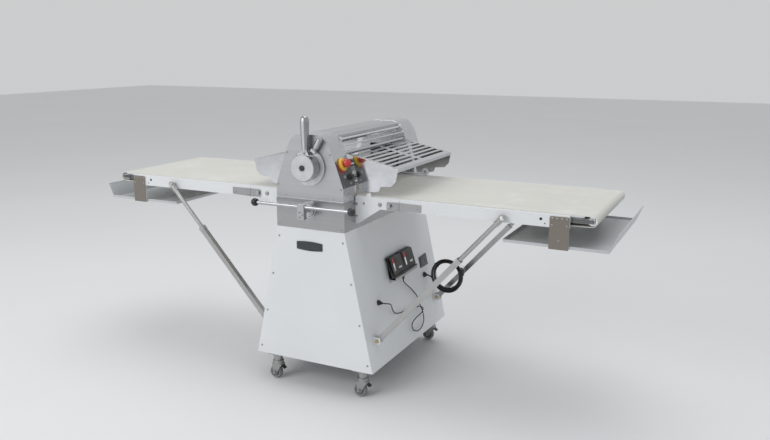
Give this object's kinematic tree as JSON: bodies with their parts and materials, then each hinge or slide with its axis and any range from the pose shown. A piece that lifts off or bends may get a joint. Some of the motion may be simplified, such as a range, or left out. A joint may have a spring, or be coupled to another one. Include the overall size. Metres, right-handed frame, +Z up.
{
  "type": "dough sheeter",
  "caption": "Floor-standing dough sheeter: roller head over folding conveyor tables, with telescopic struts, guards, catch trays, foot switch and casters.",
  "frame": {"origin": "on the floor, under the centre of the box round the machine without its cords", "axes": "+X along the conveyor tables to the right as the operator sees them, +Y from the operator to the back, +Z up"},
  "size_m": [2.572, 0.944, 1.25],
  "materials": {
    "white_powder": "satin powder coat",
    "grey_sheet": "satin grey sheet",
    "stainless": "brushed",
    "zinc": "zinc plated",
    "chrome": "polished",
    "belt_cream": "food-grade belt, fine weave",
    "black_plastic": "moulded, fine texture",
    "red_plastic": "glossy",
    "black_rubber": "matt cord sheath",
    "grey_rubber": "matt tread"
  },
  "bodies": {
    "machine": {"base_frame": "zinc", "cabinet_shell": "white_powder", "cabinet_front_panel": "white_powder", "lower_casing": "stainless", "front_housing": "stainless", "front_cover_plate": "stainless", "rear_housing": "stainless", "top_cover": "stainless", "dial_ring": "stainless", "control_panel": "stainless", "pedal_holder": "stainless", "pedal_base": "black_plastic", "pedal_cord": "black_rubber", "mains_cord": "black_rubber", "table_bracket_left": "white_powder", "inner_belt_left": "belt_cream", "table_bracket_right": "white_powder", "inner_belt_right": "belt_cream"},
    "roller_carrier": {"roller_carrier": "zinc"},
    "upper_roller": {"upper_roller": "chrome"},
    "lower_roller": {"lower_roller": "chrome"},
    "thickness_lever": {"thickness_lever": "stainless"},
    "stop_knob": {"thickness_stop_knob": "chrome"},
    "direction_lever": {"direction_bar": "chrome", "direction_ball_left": "black_plastic", "direction_ball_right": "black_plastic"},
    "emergency_stop": {"emergency_stop_button": "red_plastic"},
    "start_button": {"start_button": "black_plastic"},
    "pedal_front": {"pedal_front": "black_plastic"},
    "pedal_rear": {"pedal_rear": "black_plastic"},
    "drive_roller_left": {"drive_roller_left": "chrome"},
    "guard_left": {"guard_left": "stainless"},
    "table_left": {"table_frame_left": "white_powder", "belt_left": "belt_cream"},
    "end_roller_left": {"end_roller_left": "chrome"},
    "tray_left": {"catch_tray_left": "grey_sheet"},
    "latch_left": {"latch_knob_left": "chrome"},
    "strut_tube_front_left": {"strut_tube_front_left": "chrome"},
    "strut_rod_front_left": {"strut_rod_front_left": "chrome"},
    "caster_fork_front_left": {"caster_fork_front_left": "zinc"},
    "caster_wheel_front_left": {"caster_wheel_front_left": "grey_rubber"},
    "strut_tube_rear_left": {"strut_tube_rear_left": "chrome"},
    "strut_rod_rear_left": {"strut_rod_rear_left": "chrome"},
    "caster_fork_rear_left": {"caster_fork_rear_left": "zinc"},
    "caster_wheel_rear_left": {"caster_wheel_rear_left": "grey_rubber"},
    "drive_roller_right": {"drive_roller_right": "chrome"},
    "guard_right": {"guard_right": "stainless"},
    "table_right": {"table_frame_right": "white_powder", "belt_right": "belt_cream"},
    "end_roller_right": {"end_roller_right": "chrome"},
    "tray_right": {"catch_tray_right": "grey_sheet"},
    "latch_right": {"latch_knob_right": "chrome"},
    "strut_tube_front_right": {"strut_tube_front_right": "chrome"},
    "strut_rod_front_right": {"strut_rod_front_right": "chrome"},
    "caster_fork_front_right": {"caster_fork_front_right": "zinc"},
    "caster_wheel_front_right": {"caster_wheel_front_right": "grey_rubber"},
    "strut_tube_rear_right": {"strut_tube_rear_right": "chrome"},
    "strut_rod_rear_right": {"strut_rod_rear_right": "chrome"},
    "caster_fork_rear_right": {"caster_fork_rear_right": "zinc"},
    "caster_wheel_rear_right": {"caster_wheel_rear_right": "grey_rubber"}
  },
  "joints": [
    {"name": "lever_turn", "type": "hinge", "parent": "machine", "child": "thickness_lever", "pos_m": [0, -0.413, 1.031], "axis": [0, 1, 0], "range_deg": [-80, 9]},
    {"name": "roller_lift", "type": "slide", "parent": "machine", "child": "roller_carrier", "axis": [0, 0, 1], "range_m": [-0.0045, 0.0325]},
    {"name": "lower_roller_spin", "type": "hinge", "parent": "machine", "child": "lower_roller", "pos_m": [0, 0.03, 0.8646], "axis": [0, 1, 0], "continuous": true},
    {"name": "upper_roller_spin", "type": "hinge", "parent": "roller_carrier", "child": "upper_roller", "pos_m": [0, 0.03, 0.955], "axis": [0, 1, 0], "continuous": true},
    {"name": "stop_knob_pull", "type": "slide", "parent": "machine", "child": "stop_knob", "axis": [0.4924, 0, 0.8704], "range_m": [0, 0.006], "stiffness_N_per_m": 1500},
    {"name": "direction_bar_tilt", "type": "hinge", "parent": "machine", "child": "direction_lever", "pos_m": [0, -0.454, 0.8435], "axis": [0, 1, 0], "range_deg": [-12, 12]},
    {"name": "emergency_stop_press", "type": "slide", "parent": "machine", "child": "emergency_stop", "axis": [-0.9409, 0, -0.3387], "range_m": [0, 0.004], "stiffness_N_per_m": 2000},
    {"name": "start_button_press", "type": "slide", "parent": "machine", "child": "start_button", "axis": [-0.9409, 0, -0.3387], "range_m": [0, 0.003], "stiffness_N_per_m": 1200},
    {"name": "pedal_front_press", "type": "hinge", "parent": "machine", "child": "pedal_front", "pos_m": [0.2599, -0.026, 0.4908], "axis": [0, -1, 0], "range_deg": [0, 3], "stiffness_Nm_per_rad": 15},
    {"name": "pedal_rear_press", "type": "hinge", "parent": "machine", "child": "pedal_rear", "pos_m": [0.2599, 0.098, 0.4908], "axis": [0, -1, 0], "range_deg": [0, 3], "stiffness_Nm_per_rad": 15},
    {"name": "guard_left_lift", "type": "hinge", "parent": "machine", "child": "guard_left", "pos_m": [-0.108, 0.03, 1.0835], "axis": [0, 1, 0], "range_deg": [0, 65]},
    {"name": "drive_roller_left_spin", "type": "hinge", "parent": "machine", "child": "drive_roller_left", "pos_m": [-0.068, 0.03, 0.8816], "axis": [0, 1, 0], "continuous": true},
    {"name": "table_left_fold", "type": "hinge", "parent": "machine", "child": "table_left", "pos_m": [-0.384, 0.03, 0.9036], "axis": [0, 1, 0], "range_deg": [0, 90]},
    {"name": "end_roller_left_spin", "type": "hinge", "parent": "table_left", "child": "end_roller_left", "pos_m": [-1.184, 0.03, 0.8816], "axis": [0, 1, 0], "continuous": true},
    {"name": "tray_left_slide", "type": "slide", "parent": "table_left", "child": "tray_left", "axis": [-1, 0, 0], "range_m": [0, 0.15]},
    {"name": "latch_left_pull", "type": "slide", "parent": "machine", "child": "latch_left", "axis": [0, -1, 0], "range_m": [0, 0.006], "stiffness_N_per_m": 800},
    {"name": "strut_front_left_swing", "type": "hinge", "parent": "machine", "child": "strut_tube_front_left", "pos_m": [-0.2945, -0.311, 0.263], "axis": [0, 1, 0], "range_deg": [0, 36]},
    {"name": "strut_front_left_extend", "type": "slide", "parent": "strut_tube_front_left", "child": "strut_rod_front_left", "axis": [-0.6686, 0, 0.7437], "range_m": [0, 0.29]},
    {"name": "caster_front_left_swivel", "type": "hinge", "parent": "machine", "child": "caster_fork_front_left", "pos_m": [-0.215, -0.354, 0.1], "axis": [0, 0, 1], "continuous": true},
    {"name": "caster_front_left_roll", "type": "hinge", "parent": "caster_fork_front_left", "child": "caster_wheel_front_left", "pos_m": [-0.226, -0.354, 0.0315], "axis": [0, 1, 0], "continuous": true},
    {"name": "strut_rear_left_swing", "type": "hinge", "parent": "machine", "child": "strut_tube_rear_left", "pos_m": [-0.2945, 0.371, 0.263], "axis": [0, 1, 0], "range_deg": [0, 36]},
    {"name": "strut_rear_left_extend", "type": "slide", "parent": "strut_tube_rear_left", "child": "strut_rod_rear_left", "axis": [-0.6686, 0, 0.7437], "range_m": [0, 0.29]},
    {"name": "caster_rear_left_swivel", "type": "hinge", "parent": "machine", "child": "caster_fork_rear_left", "pos_m": [-0.215, 0.414, 0.1], "axis": [0, 0, 1], "continuous": true},
    {"name": "caster_rear_left_roll", "type": "hinge", "parent": "caster_fork_rear_left", "child": "caster_wheel_rear_left", "pos_m": [-0.226, 0.414, 0.0315], "axis": [0, 1, 0], "continuous": true},
    {"name": "guard_right_lift", "type": "hinge", "parent": "machine", "child": "guard_right", "pos_m": [0.108, 0.03, 1.0835], "axis": [0, -1, 0], "range_deg": [0, 65]},
    {"name": "drive_roller_right_spin", "type": "hinge", "parent": "machine", "child": "drive_roller_right", "pos_m": [0.068, 0.03, 0.8816], "axis": [0, 1, 0], "continuous": true},
    {"name": "table_right_fold", "type": "hinge", "parent": "machine", "child": "table_right", "pos_m": [0.384, 0.03, 0.9036], "axis": [0, -1, 0], "range_deg": [0, 90]},
    {"name": "end_roller_right_spin", "type": "hinge", "parent": "table_right", "child": "end_roller_right", "pos_m": [1.184, 0.03, 0.8816], "axis": [0, 1, 0], "continuous": true},
    {"name": "tray_right_slide", "type": "slide", "parent": "table_right", "child": "tray_right", "axis": [1, 0, 0], "range_m": [0, 0.15]},
    {"name": "latch_right_pull", "type": "slide", "parent": "machine", "child": "latch_right", "axis": [0, -1, 0], "range_m": [0, 0.006], "stiffness_N_per_m": 800},
    {"name": "strut_front_right_swing", "type": "hinge", "parent": "machine", "child": "strut_tube_front_right", "pos_m": [0.2945, -0.311, 0.263], "axis": [0, -1, 0], "range_deg": [0, 36]},
    {"name": "strut_front_right_extend", "type": "slide", "parent": "strut_tube_front_right", "child": "strut_rod_front_right", "axis": [0.6686, 0, 0.7437], "range_m": [0, 0.29]},
    {"name": "caster_front_right_swivel", "type": "hinge", "parent": "machine", "child": "caster_fork_front_right", "pos_m": [0.237, -0.354, 0.1], "axis": [0, 0, 1], "continuous": true},
    {"name": "caster_front_right_roll", "type": "hinge", "parent": "caster_fork_front_right", "child": "caster_wheel_front_right", "pos_m": [0.226, -0.354, 0.0315], "axis": [0, 1, 0], "continuous": true},
    {"name": "strut_rear_right_swing", "type": "hinge", "parent": "machine", "child": "strut_tube_rear_right", "pos_m": [0.2945, 0.371, 0.263], "axis": [0, -1, 0], "range_deg": [0, 36]},
    {"name": "strut_rear_right_extend", "type": "slide", "parent": "strut_tube_rear_right", "child": "strut_rod_rear_right", "axis": [0.6686, 0, 0.7437], "range_m": [0, 0.29]},
    {"name": "caster_rear_right_swivel", "type": "hinge", "parent": "machine", "child": "caster_fork_rear_right", "pos_m": [0.237, 0.414, 0.1], "axis": [0, 0, 1], "continuous": true},
    {"name": "caster_rear_right_roll", "type": "hinge", "parent": "caster_fork_rear_right", "child": "caster_wheel_rear_right", "pos_m": [0.226, 0.414, 0.0315], "axis": [0, 1, 0], "continuous": true}
  ],
  "couplings": [
    {"joint": "roller_lift", "follows": "lever_turn", "m_per_rad": -0.0229},
    {"joint": "upper_roller_spin", "follows": "lower_roller_spin", "ratio": -1},
    {"joint": "drive_roller_left_spin", "follows": "lower_roller_spin", "ratio": 2.0305},
    {"joint": "end_roller_left_spin", "follows": "lower_roller_spin", "ratio": 2.0305},
    {"joint": "strut_front_left_swing", "follows": "table_left_fold", "ratio": 0.3963},
    {"joint": "strut_front_left_extend", "follows": "table_left_fold", "m_per_rad": 0.18233},
    {"joint": "strut_rear_left_swing", "follows": "table_left_fold", "ratio": 0.3963},
    {"joint": "strut_rear_left_extend", "follows": "table_left_fold", "m_per_rad": 0.18233},
    {"joint": "drive_roller_right_spin", "follows": "lower_roller_spin", "ratio": 2.0305},
    {"joint": "end_roller_right_spin", "follows": "lower_roller_spin", "ratio": 2.0305},
    {"joint": "strut_front_right_swing", "follows": "table_right_fold", "ratio": 0.3963},
    {"joint": "strut_front_right_extend", "follows": "table_right_fold", "m_per_rad": 0.18233},
    {"joint": "strut_rear_right_swing", "follows": "table_right_fold", "ratio": 0.3963},
    {"joint": "strut_rear_right_extend", "follows": "table_right_fold", "m_per_rad": 0.18233}
  ]
}
